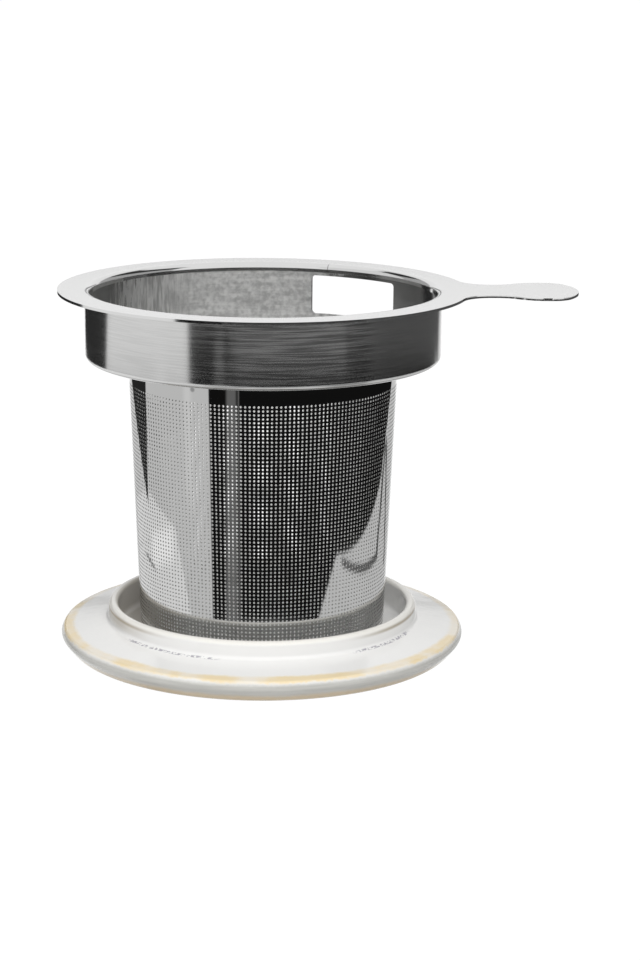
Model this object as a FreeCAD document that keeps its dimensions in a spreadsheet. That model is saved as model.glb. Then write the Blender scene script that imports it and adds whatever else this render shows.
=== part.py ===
"""Tea infuser standing in its own upturned stoneware lid, all sizes in millimetres.

The origin is on the lid's axis, at the face that it lies on, with +Z up and the
infuser's handle along +X.
"""

import FreeCAD, Part
import math
import os

import Sketcher

Vector = FreeCAD.Vector

# Driving dimensions: each is one cell of the sheet, under this name.
DIMENSIONS = {
    # Stoneware lid, lying on its outer face
    "lid_radius": 45.3,
    "rest_edge_inset": 2.9,
    "rim_widest_height": 3.4,
    "rim_edge_inset": 1.0,
    "rim_edge_height": 5.1,
    "ring_foot_height": 6.7,
    "ring_top_height": 10.45,
    "ring_width": 2.1,
    "well_floor_height": 4.0,
    "well_clearance": 5.1,
    "rest_edge_round": 2.4,
    "rim_round": 1.4,
    "rim_edge_round": 0.7,
    "ring_foot_round": 1.0,
    "ring_crown_round": 1.0,
    "well_corner_round": 1.4,
    # Infuser as a whole
    "infuser_height": 76.8,
    "collar_radius": 39.0,
    "weld_gap": 0.05,
    # Flat rim with its handle
    "rim_gauge": 0.6,
    "rim_overhang": 5.9,
    "rim_bend_round": 0.7,
    "lip_drop": 1.95,
    "handle_reach": 23.9,
    "handle_neck_half_width": 7.4,
    "handle_neck_length": 0.4,
    "handle_flare_length": 10.2,
    "handle_fillet": 7.0,
    "handle_half_width": 10.8,
    "handle_corner_round": 5.0,
    "handle_end_round": 16.0,
    # Collar
    "collar_gauge": 0.5,
    "collar_drop": 15.4,
    "collar_bottom_round": 1.3,
    "collar_neck_drop": 2.4,
    "collar_neck_round": 0.8,
    "window_angle": 57.7,
    "window_width": 22.3,
    "window_height": 8.95,
    "window_below_rim": 2.8,
    "window_corner_round": 0.9,
    # Perforated basket
    "basket_gauge": 0.3,
    "basket_top_radius": 29.65,
    "basket_bottom_radius": 27.2,
    "plain_band": 4.4,
    "foot_band": 1.6,
    "floor_gauge": 0.4,
    "floor_rim_height": 2.0,
    "hole_radius": 1.3,
    "hole_columns": 20.0,
    "hole_rows": 8.0,
    "floor_hole_pitch": 6.2,
}

SHEET = "Dims"

doc = FreeCAD.newDocument("tea_infuser_and_lid")


def fill_sheet(document):
    """Write every driving dimension to a cell of its own, with its alias."""
    table = document.addObject("Spreadsheet::Sheet", SHEET)
    for row, (name, number) in enumerate(DIMENSIONS.items(), start=1):
        table.set(f"A{row}", name)
        table.set(f"B{row}", str(number))
        table.setAlias(f"B{row}", name)
    document.recompute()
    return table


sheet = fill_sheet(doc)


def size(name):
    """Read one driving dimension from the sheet."""
    return float(getattr(sheet, name))


def cell(name):
    """Name one driving dimension as it is written in an expression."""
    return f"{SHEET}.{name}"


def origin_plane(body, role):
    """Find one of the body's own origin planes by its role."""
    return next(item for item in body.Origin.OriginFeatures if item.Role == role)


def new_body(name):
    """Add a body whose label is the name of the piece."""
    body = doc.addObject("PartDesign::Body", name)
    body.Label = name
    return body


def place_vertex(sketch, line, across, up):
    """Hold the start of a line at two distances from the sketch's origin."""
    if across == "0":
        sketch.addConstraint(Sketcher.Constraint("PointOnObject", line, 1, -2))
    else:
        index = sketch.addConstraint(Sketcher.Constraint("DistanceX", -1, 1, line, 1, 1.0))
        sketch.setExpression(f"Constraints[{index}]", across)
    if up == "0":
        sketch.addConstraint(Sketcher.Constraint("PointOnObject", line, 1, -1))
    else:
        index = sketch.addConstraint(Sketcher.Constraint("DistanceY", -1, 1, line, 1, 1.0))
        sketch.setExpression(f"Constraints[{index}]", up)


def half_section(body, name, corners):
    """Draw a closed outline in the XZ plane, each corner as two expressions."""
    sketch = body.newObject("Sketcher::SketchObject", name)
    sketch.AttachmentSupport = [(origin_plane(body, "XZ_Plane"), "")]
    sketch.MapMode = "FlatFace"
    places = [(value_of(across), value_of(up)) for across, up in corners]
    count = len(corners)
    for index in range(count):
        start = Vector(*places[index], 0)
        end = Vector(*places[(index + 1) % count], 0)
        sketch.addGeometry(Part.LineSegment(start, end), False)
    for index in range(count):
        following = (index + 1) % count
        sketch.addConstraint(Sketcher.Constraint("Coincident", index, 2, following, 1))
    for index, (across, up) in enumerate(corners):
        place_vertex(sketch, index, across, up)
    return sketch


def value_of(expression):
    """Work out an expression on the sheet's cells."""
    return float(sheet.evalExpression(expression))


def turned(body, name, corners):
    """Turn a half section about Z into a solid."""
    sketch = half_section(body, f"{name}_section", corners)
    turn = body.newObject("PartDesign::Revolution", f"{name}_turned")
    turn.Profile = sketch
    turn.ReferenceAxis = (sketch, ["V_Axis"])
    turn.Angle = 360.0
    doc.recompute()
    return turn


def ring_edges(shape, radius, height):
    """Name the round edges about Z at a radius and a height."""
    tolerance = 0.01
    names = []
    for index, edge in enumerate(shape.Edges, start=1):
        curve = edge.Curve
        if not isinstance(curve, Part.Circle):
            continue
        level = abs(curve.Center.z - height) < tolerance
        centred = math.hypot(curve.Center.x, curve.Center.y) < tolerance
        if level and centred and abs(curve.Radius - radius) < tolerance:
            names.append(f"Edge{index}")
    return names


def round_edges(body, name, places, radius_name):
    """Fillet the round edges at the given radii and heights."""
    base = body.Tip
    edges = []
    for radius, height in places:
        edges += ring_edges(base.Shape, value_of(radius), value_of(height))
    if len(edges) < len(places):
        raise RuntimeError(f"{name}: an edge to round wasn't found")
    fillet = body.newObject("PartDesign::Fillet", name)
    fillet.Base = (base, edges)
    fillet.setExpression("Radius", cell(radius_name))
    doc.recompute()
    return fillet


# Levels and radii that more than one piece shares, as expressions on the sheet
FLANGE_TOP = f"({cell('well_floor_height')} + {cell('infuser_height')})"
SHELF_UNDER = f"({FLANGE_TOP} - {cell('collar_drop')})"
SHELF_TOP = f"({SHELF_UNDER} + {cell('collar_gauge')})"
COLLAR_INNER = f"({cell('collar_radius')} - {cell('collar_gauge')})"
LIP_OUTER = f"({COLLAR_INNER} - {cell('weld_gap')})"
LIP_INNER = f"({LIP_OUTER} - {cell('rim_gauge')})"
RIM_UNDER = f"({FLANGE_TOP} - {cell('rim_gauge')})"
RIM_RADIUS = f"({cell('collar_radius')} + {cell('rim_overhang')})"
COLLAR_TOP = f"({RIM_UNDER} - {cell('rim_bend_round')})"
WELL_RADIUS = f"({cell('basket_bottom_radius')} + {cell('well_clearance')})"
RING_OUTER = f"({WELL_RADIUS} + {cell('ring_width')})"
BASKET_HEIGHT = f"({cell('infuser_height')} - {cell('collar_drop')})"
BASKET_SLOPE = f"(({cell('basket_top_radius')} - {cell('basket_bottom_radius')}) / {BASKET_HEIGHT})"


def basket_radius_at(height):
    """Give the basket's outer radius at a height above its own foot."""
    taper = (size("basket_top_radius") - size("basket_bottom_radius")) / value_of(BASKET_HEIGHT)
    return size("basket_bottom_radius") + taper * height


def make_lid():
    """Turn the stoneware lid, with its locating ring and well upwards."""
    body = new_body("lid")
    rest_edge = f"{cell('lid_radius')} - {cell('rest_edge_inset')}"
    rim_edge = f"{cell('lid_radius')} - {cell('rim_edge_inset')}"
    corners = [
        ("0", "0"),
        (rest_edge, "0"),
        (cell("lid_radius"), cell("rim_widest_height")),
        (rim_edge, cell("rim_edge_height")),
        (RING_OUTER, cell("ring_foot_height")),
        (RING_OUTER, cell("ring_top_height")),
        (WELL_RADIUS, cell("ring_top_height")),
        (WELL_RADIUS, cell("well_floor_height")),
        ("0", cell("well_floor_height")),
    ]
    turned(body, "lid", corners)
    crown = [(RING_OUTER, cell("ring_top_height")), (WELL_RADIUS, cell("ring_top_height"))]
    round_edges(body, "lid_rest_edge", [(rest_edge, "0")], "rest_edge_round")
    round_edges(body, "lid_rim", [(cell("lid_radius"), cell("rim_widest_height"))], "rim_round")
    round_edges(body, "lid_rim_edge", [(rim_edge, cell("rim_edge_height"))], "rim_edge_round")
    round_edges(body, "lid_ring_foot", [(RING_OUTER, cell("ring_foot_height"))], "ring_foot_round")
    round_edges(body, "lid_well", [(WELL_RADIUS, cell("well_floor_height"))], "well_corner_round")
    round_edges(body, "lid_ring_crown", crown, "ring_crown_round")
    return body


def handle_outline():
    """Draw the flat of the rim and its handle as one outline of lines and arcs."""
    rim = value_of(RIM_RADIUS)
    neck = size("handle_neck_half_width")
    fillet = size("handle_fillet")
    half = size("handle_half_width")
    corner = size("handle_corner_round")
    end_round = size("handle_end_round")
    tip_x = rim + size("handle_reach")
    # Fillet between the rim's edge and the neck, touching both
    fillet_y = neck + fillet
    fillet_x = math.sqrt((rim + fillet) ** 2 - fillet_y ** 2)
    rim_touch = Vector(fillet_x, fillet_y, 0) * (rim / (rim + fillet))
    neck_start = Vector(fillet_x, neck, 0)
    # The neck widens to the handle in two arcs of one radius that meet half way
    neck_end = neck_start + Vector(size("handle_neck_length"), 0, 0)
    widest = Vector(neck_end.x + size("handle_flare_length"), half, 0)
    middle = (neck_end + widest) * 0.5
    rise = (half - neck) / 2
    run = (widest.x - neck_end.x) / 2
    swing = (run ** 2 + rise ** 2) / (2 * rise)
    half_turn = math.asin(run / swing) / 2
    shift = Vector(swing * math.sin(half_turn), swing * (1 - math.cos(half_turn)), 0)
    concave = neck_end + shift
    convex = widest - shift
    # Rounded corner between the handle's side and its end arc
    end_centre = Vector(tip_x - end_round, 0, 0)
    corner_y = half - corner
    corner_x = end_centre.x + math.sqrt((end_round - corner) ** 2 - corner_y ** 2)
    side_end = Vector(corner_x, half, 0)
    outward = (Vector(corner_x, corner_y, 0) - end_centre).normalize()
    end_touch = end_centre + outward * end_round
    diagonal = (Vector(0, 1, 0) + outward).normalize()
    corner_middle = Vector(corner_x, corner_y, 0) + diagonal * corner
    fillet_down = Vector(0, -1, 0)
    fillet_in = (rim_touch - Vector(fillet_x, fillet_y, 0)).normalize()
    fillet_middle = Vector(fillet_x, fillet_y, 0) + (fillet_down + fillet_in).normalize() * fillet

    upper = [
        Part.Arc(rim_touch, fillet_middle, neck_start).toShape(),
        Part.LineSegment(neck_start, neck_end).toShape(),
        Part.Arc(neck_end, concave, middle).toShape(),
        Part.Arc(middle, convex, widest).toShape(),
        Part.LineSegment(widest, side_end).toShape(),
        Part.Arc(side_end, corner_middle, end_touch).toShape(),
    ]
    across = Vector(0, 1, 0)
    lower = [edge.mirror(Vector(), across) for edge in upper]
    end_arc = Part.Arc(end_touch, Vector(tip_x, 0, 0), mirrored_y(end_touch)).toShape()
    rim_arc = Part.Arc(rim_touch, Vector(-rim, 0, 0), mirrored_y(rim_touch)).toShape()
    edges = Part.__sortEdges__(upper + [end_arc] + lower + [rim_arc])
    return Part.Wire(edges)


def mirrored_y(point):
    """Mirror a point in the XZ plane."""
    return Vector(point.x, -point.y, point.z)


def make_rim_plate():
    """Form the flat rim with its handle and its rolled-in lip from one sheet."""
    gauge = size("rim_gauge")
    bend_in = size("rim_bend_round")
    bend_out = bend_in + gauge
    top = value_of(FLANGE_TOP)
    lip_in = value_of(LIP_INNER)
    lip_out = value_of(LIP_OUTER)
    flat_start = lip_in + bend_out
    lip_end = top - size("lip_drop")
    bend_middle = math.sqrt(0.5)
    bend_level = top - bend_out

    flat = Part.Face(handle_outline()).extrude(Vector(0, 0, gauge))
    flat.translate(Vector(0, 0, top - gauge))
    opening = Part.makeCylinder(flat_start, 3 * gauge, Vector(0, 0, top - 2 * gauge))
    flat = flat.cut(opening)

    def at(radius, height):
        return Vector(radius, 0, height)

    def on_bend(radius):
        return at(flat_start - radius * bend_middle, bend_level + radius * bend_middle)

    section = Part.Wire([
        Part.LineSegment(at(flat_start, top - gauge), at(flat_start, top)).toShape(),
        Part.Arc(at(flat_start, top), on_bend(bend_out), at(lip_in, bend_level)).toShape(),
        Part.LineSegment(at(lip_in, bend_level), at(lip_in, lip_end)).toShape(),
        Part.LineSegment(at(lip_in, lip_end), at(lip_out, lip_end)).toShape(),
        Part.LineSegment(at(lip_out, lip_end), at(lip_out, bend_level)).toShape(),
        Part.Arc(at(lip_out, bend_level), on_bend(bend_in), at(flat_start, top - gauge)).toShape(),
    ])
    lip = Part.Face(section).revolve(Vector(), Vector(0, 0, 1), 360)
    plate = doc.addObject("Part::Feature", "rim_plate")
    plate.Label = "rim_plate"
    plate.Shape = flat.fuse(lip).removeSplitter()
    plate.Placement = FreeCAD.Placement()
    return plate


def make_collar():
    """Draw the collar: wall, shelf and neck of one thickness, with its window."""
    body = new_body("collar")
    neck_foot = f"{SHELF_UNDER} - {cell('collar_neck_drop')}"
    neck_outer = (
        f"({cell('basket_top_radius')} - {cell('collar_neck_drop')} * {BASKET_SLOPE}"
        f" - {cell('basket_gauge')} - {cell('weld_gap')})"
    )
    neck_inner = f"({neck_outer} - {cell('collar_gauge')})"
    corners = [
        (neck_inner, neck_foot),
        (neck_outer, neck_foot),
        (neck_outer, SHELF_UNDER),
        (cell("collar_radius"), SHELF_UNDER),
        (cell("collar_radius"), COLLAR_TOP),
        (COLLAR_INNER, COLLAR_TOP),
        (COLLAR_INNER, SHELF_TOP),
        (neck_inner, SHELF_TOP),
    ]
    turned(body, "collar", corners)
    round_edges(body, "collar_corner", [(cell("collar_radius"), SHELF_UNDER)], "collar_bottom_round")
    round_edges(body, "collar_neck", [(neck_inner, SHELF_TOP)], "collar_neck_round")
    cut_window(body)
    return body


def cut_window(body):
    """Cut the window through one side of the collar's wall."""
    sketch = body.newObject("Sketcher::SketchObject", "window_outline")
    sketch.AttachmentSupport = [(origin_plane(body, "XZ_Plane"), "")]
    sketch.MapMode = "FlatFace"
    quarter = 90.0
    turn = FreeCAD.Rotation(Vector(0, 1, 0), size("window_angle") - quarter)
    sketch.AttachmentOffset = FreeCAD.Placement(Vector(), turn)
    half = size("window_width") / 2
    top = value_of(FLANGE_TOP) - size("window_below_rim")
    low = top - size("window_height")
    corners = [Vector(-half, low, 0), Vector(half, low, 0), Vector(half, top, 0), Vector(-half, top, 0)]
    for index, corner in enumerate(corners):
        sketch.addGeometry(Part.LineSegment(corner, corners[(index + 1) % 4]), False)
    for index in range(4):
        sketch.addConstraint(Sketcher.Constraint("Coincident", index, 2, (index + 1) % 4, 1))
    for index in (0, 2):
        sketch.addConstraint(Sketcher.Constraint("Horizontal", index))
    for index in (1, 3):
        sketch.addConstraint(Sketcher.Constraint("Vertical", index))
    width = sketch.addConstraint(Sketcher.Constraint("DistanceX", 0, 1, 0, 2, 2 * half))
    height = sketch.addConstraint(Sketcher.Constraint("DistanceY", 1, 1, 1, 2, top - low))
    side = sketch.addConstraint(Sketcher.Constraint("DistanceX", -1, 1, 0, 2, half))
    head = sketch.addConstraint(Sketcher.Constraint("DistanceY", -1, 1, 1, 2, top))
    sketch.setExpression(f"Constraints[{width}]", cell("window_width"))
    sketch.setExpression(f"Constraints[{height}]", cell("window_height"))
    sketch.setExpression(f"Constraints[{side}]", f"{cell('window_width')} / 2")
    sketch.setExpression(f"Constraints[{head}]", f"{FLANGE_TOP} - {cell('window_below_rim')}")
    doc.recompute()
    before = body.Tip.Shape.Volume
    pocket = body.newObject("PartDesign::Pocket", "window")
    pocket.Profile = sketch
    pocket.setExpression("Length", cell("collar_radius"))
    doc.recompute()
    least_cut = 1.0
    if pocket.Shape.Volume > before - least_cut:
        pocket.Reversed = True
        doc.recompute()
    bearing_angle = math.radians(size("window_angle"))
    bearing = Vector(math.cos(bearing_angle), math.sin(bearing_angle), 0)
    nearly_along = 0.999
    corner_edges = []
    for index, edge in enumerate(pocket.Shape.Edges, start=1):
        if not isinstance(edge.Curve, Part.Line):
            continue
        middle = edge.CenterOfMass
        along = edge.tangentAt(edge.FirstParameter)
        in_window = low - size("collar_gauge") < middle.z < top + size("collar_gauge")
        if in_window and abs(along.dot(bearing)) > nearly_along:
            corner_edges.append(f"Edge{index}")
    rounding = body.newObject("PartDesign::Fillet", "window_corners")
    rounding.Base = (pocket, corner_edges)
    rounding.setExpression("Radius", cell("window_corner_round"))
    doc.recompute()


def cone(name, radius_low, radius_high, height, level):
    """Add a cone about Z whose sizes are expressions on the sheet."""
    solid = doc.addObject("Part::Cone", name)
    solid.setExpression("Radius1", radius_low)
    solid.setExpression("Radius2", radius_high)
    solid.setExpression("Height", height)
    solid.setExpression("Placement.Base.z", level)
    return solid


def cylinder(name, radius, height, level):
    """Add a cylinder about Z whose sizes are expressions on the sheet."""
    solid = doc.addObject("Part::Cylinder", name)
    solid.setExpression("Radius", radius)
    solid.setExpression("Height", height)
    solid.setExpression("Placement.Base.z", level)
    return solid


def cut(name, base, tool):
    """Cut one solid by another."""
    result = doc.addObject("Part::Cut", name)
    result.Label = name
    result.Base = base
    result.Tool = tool
    return result


def tool_of(name, solids):
    """Keep a group of cutting solids as one tool."""
    tool = doc.addObject("Part::Feature", name)
    tool.Shape = Part.makeCompound(solids)
    tool.Placement = FreeCAD.Placement()
    return tool


def make_basket_wall():
    """Roll the perforated wall, a slightly tapered tube with square rows of holes."""
    floor_level = size("well_floor_height")
    gauge = cell("basket_gauge")
    low = cell("basket_bottom_radius")
    high = cell("basket_top_radius")
    outer = cone("basket_outer", low, high, BASKET_HEIGHT, cell("well_floor_height"))
    low_inner = f"{low} - {gauge}"
    high_inner = f"{high} - {gauge}"
    inner = cone("basket_inner", low_inner, high_inner, BASKET_HEIGHT, cell("well_floor_height"))
    tube = cut("basket_tube", outer, inner)
    columns = round(size("hole_columns"))
    rows = round(size("hole_rows"))
    hole = size("hole_radius")
    lowest = size("floor_rim_height") + size("foot_band") + hole
    highest = value_of(BASKET_HEIGHT) - size("plain_band") - hole
    step = (highest - lowest) / (rows - 1)
    punch_length = 6 * size("basket_gauge")
    solids = []
    for row in range(rows):
        height = lowest + row * step
        start = basket_radius_at(height) - punch_length / 2
        for column in range(columns):
            angle = 2 * math.pi * (column + 0.5) / columns
            direction = Vector(math.cos(angle), math.sin(angle), 0)
            foot = direction * start + Vector(0, 0, floor_level + height)
            solids.append(Part.makeCylinder(hole, punch_length, foot, direction))
    return cut("basket_wall", tube, tool_of("wall_perforations", solids))


def make_basket_floor():
    """Press the perforated floor, a shallow pan that stands inside the wall's foot."""
    level = cell("well_floor_height")
    outer_radius = f"{cell('basket_bottom_radius')} - {cell('basket_gauge')} - {cell('weld_gap')}"
    outer = cylinder("floor_outer", outer_radius, cell("floor_rim_height"), level)
    hollow = cylinder(
        "floor_hollow",
        f"{outer_radius} - {cell('floor_gauge')}",
        cell("floor_rim_height"),
        f"{level} + {cell('floor_gauge')}",
    )
    pan = cut("floor_pan", outer, hollow)
    pitch = size("floor_hole_pitch")
    hole = size("hole_radius")
    gauge = size("floor_gauge")
    reach = value_of(outer_radius) - gauge - size("foot_band") - hole
    steps = int(reach // pitch)
    solids = []
    for column in range(-steps, steps + 1):
        for row in range(-steps, steps + 1):
            if math.hypot(column, row) * pitch > reach:
                continue
            foot = Vector(column * pitch, row * pitch, value_of(level) - gauge)
            solids.append(Part.makeCylinder(hole, 3 * gauge, foot))
    return cut("basket_floor", pan, tool_of("floor_perforations", solids))


def check_document():
    """Stop if any object failed to build."""
    for item in doc.Objects:
        if "Invalid" in item.State or "Error" in item.State:
            raise RuntimeError(f"{item.Name} failed: {item.State}")


def main():
    """Build every piece and write each to its own file."""
    pieces = [make_lid(), make_rim_plate(), make_collar(), make_basket_wall(), make_basket_floor()]
    doc.recompute()
    check_document()
    os.makedirs("parts", exist_ok=True)
    for piece in pieces:
        shape = piece.Shape
        if shape.isNull() or not shape.isValid():
            raise RuntimeError(f"{piece.Label} has no valid shape")
        print(f"{piece.Label}: {len(shape.Solids)} solid, {shape.Volume:.1f} mm3")
    for piece in pieces:
        piece.Shape.exportStep(f"parts/{piece.Label}.step")


main()
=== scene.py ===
"""Tea infuser standing in its upturned stoneware lid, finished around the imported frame.

Lengths in the dataclasses are millimetres, in the row frame: the origin is on the lid's
axis at the face that it lies on, with +Z up and the infuser's handle along +X.
"""

from __future__ import annotations

import logging
import math
from dataclasses import dataclass
from enum import Enum
from typing import Callable, Iterable, Optional, Sequence, Union

import bpy
import numpy as np
from mathutils import Matrix, Vector

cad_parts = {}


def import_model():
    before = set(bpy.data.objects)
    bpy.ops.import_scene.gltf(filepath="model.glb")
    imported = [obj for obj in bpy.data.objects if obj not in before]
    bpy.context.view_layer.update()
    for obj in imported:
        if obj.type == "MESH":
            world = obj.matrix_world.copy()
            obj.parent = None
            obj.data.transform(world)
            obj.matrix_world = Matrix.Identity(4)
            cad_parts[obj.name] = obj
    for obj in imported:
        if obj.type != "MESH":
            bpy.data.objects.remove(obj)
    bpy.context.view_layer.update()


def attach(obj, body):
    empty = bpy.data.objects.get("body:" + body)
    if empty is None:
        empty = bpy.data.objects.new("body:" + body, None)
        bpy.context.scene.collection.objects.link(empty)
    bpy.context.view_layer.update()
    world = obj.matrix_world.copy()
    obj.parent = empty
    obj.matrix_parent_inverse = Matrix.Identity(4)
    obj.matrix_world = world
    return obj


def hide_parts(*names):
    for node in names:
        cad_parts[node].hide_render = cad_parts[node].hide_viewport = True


MM = 0.001
DEGREE = 180 / math.pi
LOG = logging.getLogger("tea_infuser")
Number = Union[float, "Value"]
Colour = tuple[float, float, float]
Span = tuple[float, float]

# In millimetres: points nearer than SAME are one point, and what is within NEAR of a line is on it.
SAME = 0.001
NEAR = 0.01


class Slot(Enum):
    """The record's material slots."""

    GLAZE = "glazed_stoneware"
    POLISHED = "polished_steel"
    BRUSHED = "brushed_steel"
    PERFORATED = "perforated_steel"


class Body(Enum):
    """The bodies that the joint moves."""

    LID = "lid"
    INFUSER = "infuser"


# Outlines


@dataclass(frozen=True)
class Corner:
    """One corner of a section, in millimetres, with the radius that rounds it."""

    across: float
    up: float
    round: float = 0.0

    @property
    def point(self) -> Vector:
        """The corner as a vector."""
        return Vector((self.across, self.up))


def rounded(corners: Sequence[Corner], closed: bool, steps: int = 8) -> list[Vector]:
    """Round the corners of an outline.

    Args:
        corners: The outline's corners in order.
        closed: Whether the last corner joins the first.
        steps: Segments in a quarter turn.

    Returns:
        The outline's points, in millimetres.
    """
    points: list[Vector] = []
    count = len(corners)
    for index, corner in enumerate(corners):
        at_end = not closed and index in (0, count - 1)
        if corner.round == 0 or at_end:
            points.append(corner.point)
            continue
        back = (corners[index - 1].point - corner.point).normalized()
        ahead = (corners[(index + 1) % count].point - corner.point).normalized()
        half = math.acos(max(-1.0, min(1.0, back.dot(ahead)))) / 2
        centre = corner.point + (back + ahead).normalized() * corner.round / math.sin(half)
        start = corner.point + back * corner.round / math.tan(half) - centre
        end = corner.point + ahead * corner.round / math.tan(half) - centre
        turn = math.pi - 2 * half
        parts = max(2, round(steps * turn / (math.pi / 2)))
        for part in range(parts + 1):
            share = part / parts
            blend = start * math.sin((1 - share) * turn) + end * math.sin(share * turn)
            points.append(centre + blend / math.sin(turn))
    return points


def arc(centre: tuple[float, float], radius: float, start: float, end: float, parts: int) -> list[Vector]:
    """Give points along an arc.

    Args:
        centre: Centre in millimetres.
        radius: Radius in millimetres.
        start: First angle in radians.
        end: Last angle in radians.
        parts: Number of segments.

    Returns:
        parts + 1 points.
    """
    angles = [start + (end - start) * part / parts for part in range(parts + 1)]
    return [Vector((centre[0] + radius * math.cos(a), centre[1] + radius * math.sin(a))) for a in angles]


# Modelling


class Workshop:
    """Edit-mode operators, each given in millimetres."""

    @staticmethod
    def clear_selection() -> None:
        """Leave edit mode and select nothing."""
        if bpy.context.mode != "OBJECT":
            bpy.ops.object.mode_set(mode="OBJECT")
        bpy.ops.object.select_all(action="DESELECT")

    @staticmethod
    def activate(piece: bpy.types.Object) -> None:
        """Select one object alone.

        Args:
            piece: The object.
        """
        Workshop.clear_selection()
        piece.select_set(True)
        bpy.context.view_layer.objects.active = piece

    @staticmethod
    def edit(piece: bpy.types.Object) -> None:
        """Open one object in edit mode with everything selected.

        Args:
            piece: The object.
        """
        Workshop.activate(piece)
        bpy.ops.object.mode_set(mode="EDIT")
        bpy.ops.mesh.select_mode(type="VERT")
        bpy.ops.mesh.select_all(action="SELECT")

    @staticmethod
    def path(name: str, points: Sequence[Vector]) -> bpy.types.Object:
        """Draw a chain of edges by extruding one vertex.

        Args:
            name: Name of the new object.
            points: Points in millimetres, in three dimensions.

        Returns:
            The object, in object mode.
        """
        Workshop.clear_selection()
        bpy.ops.mesh.primitive_plane_add(size=MM, location=(0, 0, 0))
        piece = bpy.context.object
        piece.name = name
        Workshop.edit(piece)
        bpy.ops.mesh.merge(type="CENTER")
        bpy.ops.transform.translate(value=points[0] * MM)
        for before, after in zip(points, points[1:]):
            step = (after - before) * MM
            bpy.ops.mesh.extrude_vertices_move(TRANSFORM_OT_translate={"value": step})
        bpy.ops.mesh.select_all(action="SELECT")
        bpy.ops.mesh.remove_doubles(threshold=SAME * MM)
        bpy.ops.object.mode_set(mode="OBJECT")
        return piece

    @staticmethod
    def lathe(name: str, section: Sequence[Vector], closed: bool, segments: int) -> bpy.types.Object:
        """Turn a section about Z.

        Args:
            name: Name of the new object.
            section: Points (radius, height) in millimetres.
            closed: Whether the last point joins the first.
            segments: Number of segments round the axis.

        Returns:
            The turned object, in object mode.
        """
        chain = list(section) + ([section[0]] if closed else [])
        piece = Workshop.path(name, [Vector((point.x, 0, point.y)) for point in chain])
        Workshop.edit(piece)
        bpy.ops.mesh.spin(steps=segments, angle=2 * math.pi, center=(0, 0, 0), axis=(0, 0, 1))
        bpy.ops.mesh.select_all(action="SELECT")
        bpy.ops.mesh.remove_doubles(threshold=SAME * MM)
        Workshop.turn_outwards()
        bpy.ops.object.mode_set(mode="OBJECT")
        return piece

    @staticmethod
    def turn_outwards() -> None:
        """Select all of the mesh that is open in edit mode and turn its faces outwards."""
        bpy.ops.mesh.select_all(action="SELECT")
        bpy.ops.mesh.normals_make_consistent(inside=False)

    @staticmethod
    def face_up(piece: bpy.types.Object, up: bool) -> None:
        """Flip a sheet's faces unless its flat part already looks the wanted way.

        Args:
            piece: The sheet, before it gets its thickness.
            up: Whether the flat part looks up, or else down.
        """
        looks_up = sum(face.normal.z * face.area for face in piece.data.polygons) > 0
        if looks_up != up:
            Workshop.edit(piece)
            bpy.ops.mesh.flip_normals()
            bpy.ops.object.mode_set(mode="OBJECT")

    @staticmethod
    def select_where(piece: bpy.types.Object, test: Callable[[Vector], bool]) -> None:
        """Open a piece with only some of its vertices selected.

        Args:
            piece: The object.
            test: Says of a vertex's place, in millimetres, whether it is selected.
        """
        Workshop.edit(piece)
        bpy.ops.mesh.select_all(action="DESELECT")
        bpy.ops.object.mode_set(mode="OBJECT")
        for vertex in piece.data.vertices:
            vertex.select = test(vertex.co / MM)
        bpy.ops.object.mode_set(mode="EDIT")

    @staticmethod
    def join(name: str, pieces: Sequence[bpy.types.Object]) -> bpy.types.Object:
        """Join several objects into the first.

        Args:
            name: Name of the joined object.
            pieces: The objects.

        Returns:
            The first object, which now holds them all.
        """
        Workshop.activate(pieces[0])
        for piece in pieces[1:]:
            piece.select_set(True)
        bpy.ops.object.join()
        pieces[0].name = name
        return pieces[0]

    @staticmethod
    def modify(piece: bpy.types.Object, kind: str, **settings: object) -> None:
        """Add one modifier and apply it.

        Args:
            piece: The object.
            kind: The modifier's type.
            settings: The modifier's settings by name.
        """
        Workshop.activate(piece)
        modifier = piece.modifiers.new(kind.title(), kind)
        for key, value in settings.items():
            setattr(modifier, key, value)
        bpy.ops.object.modifier_apply(modifier=modifier.name)

    @staticmethod
    def remap(piece: bpy.types.Object, place: Callable[[np.ndarray], np.ndarray]) -> None:
        """Move every vertex to a place worked out from its own.

        Args:
            piece: The object.
            place: Turns an array of places into another, in millimetres.
        """
        mesh = piece.data
        points = np.zeros(len(mesh.vertices) * 3)
        mesh.vertices.foreach_get("co", points)
        moved = place(points.reshape(-1, 3) / MM) * MM
        mesh.vertices.foreach_set("co", moved.ravel())
        mesh.update()

    @staticmethod
    def finish(
        piece: bpy.types.Object, *materials: bpy.types.Material, smooth_degrees: float = 35.0
    ) -> None:
        """Shade a piece smooth and give it its materials.

        Args:
            piece: The object.
            materials: Its materials in order.
            smooth_degrees: The angle from which an edge stays sharp.
        """
        Workshop.activate(piece)
        bpy.ops.object.shade_smooth_by_angle(angle=math.radians(smooth_degrees))
        for material in materials:
            piece.data.materials.append(material)


# Shading

# The sockets of these nodes share their names, so they are told apart by number.
MIX_FACTOR, MIX_UNDER, MIX_OVER, MIXED_COLOUR = 0, 6, 7, 2
BLEND_FACTOR, BLEND_FIRST, BLEND_SECOND = 0, 1, 2


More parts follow.
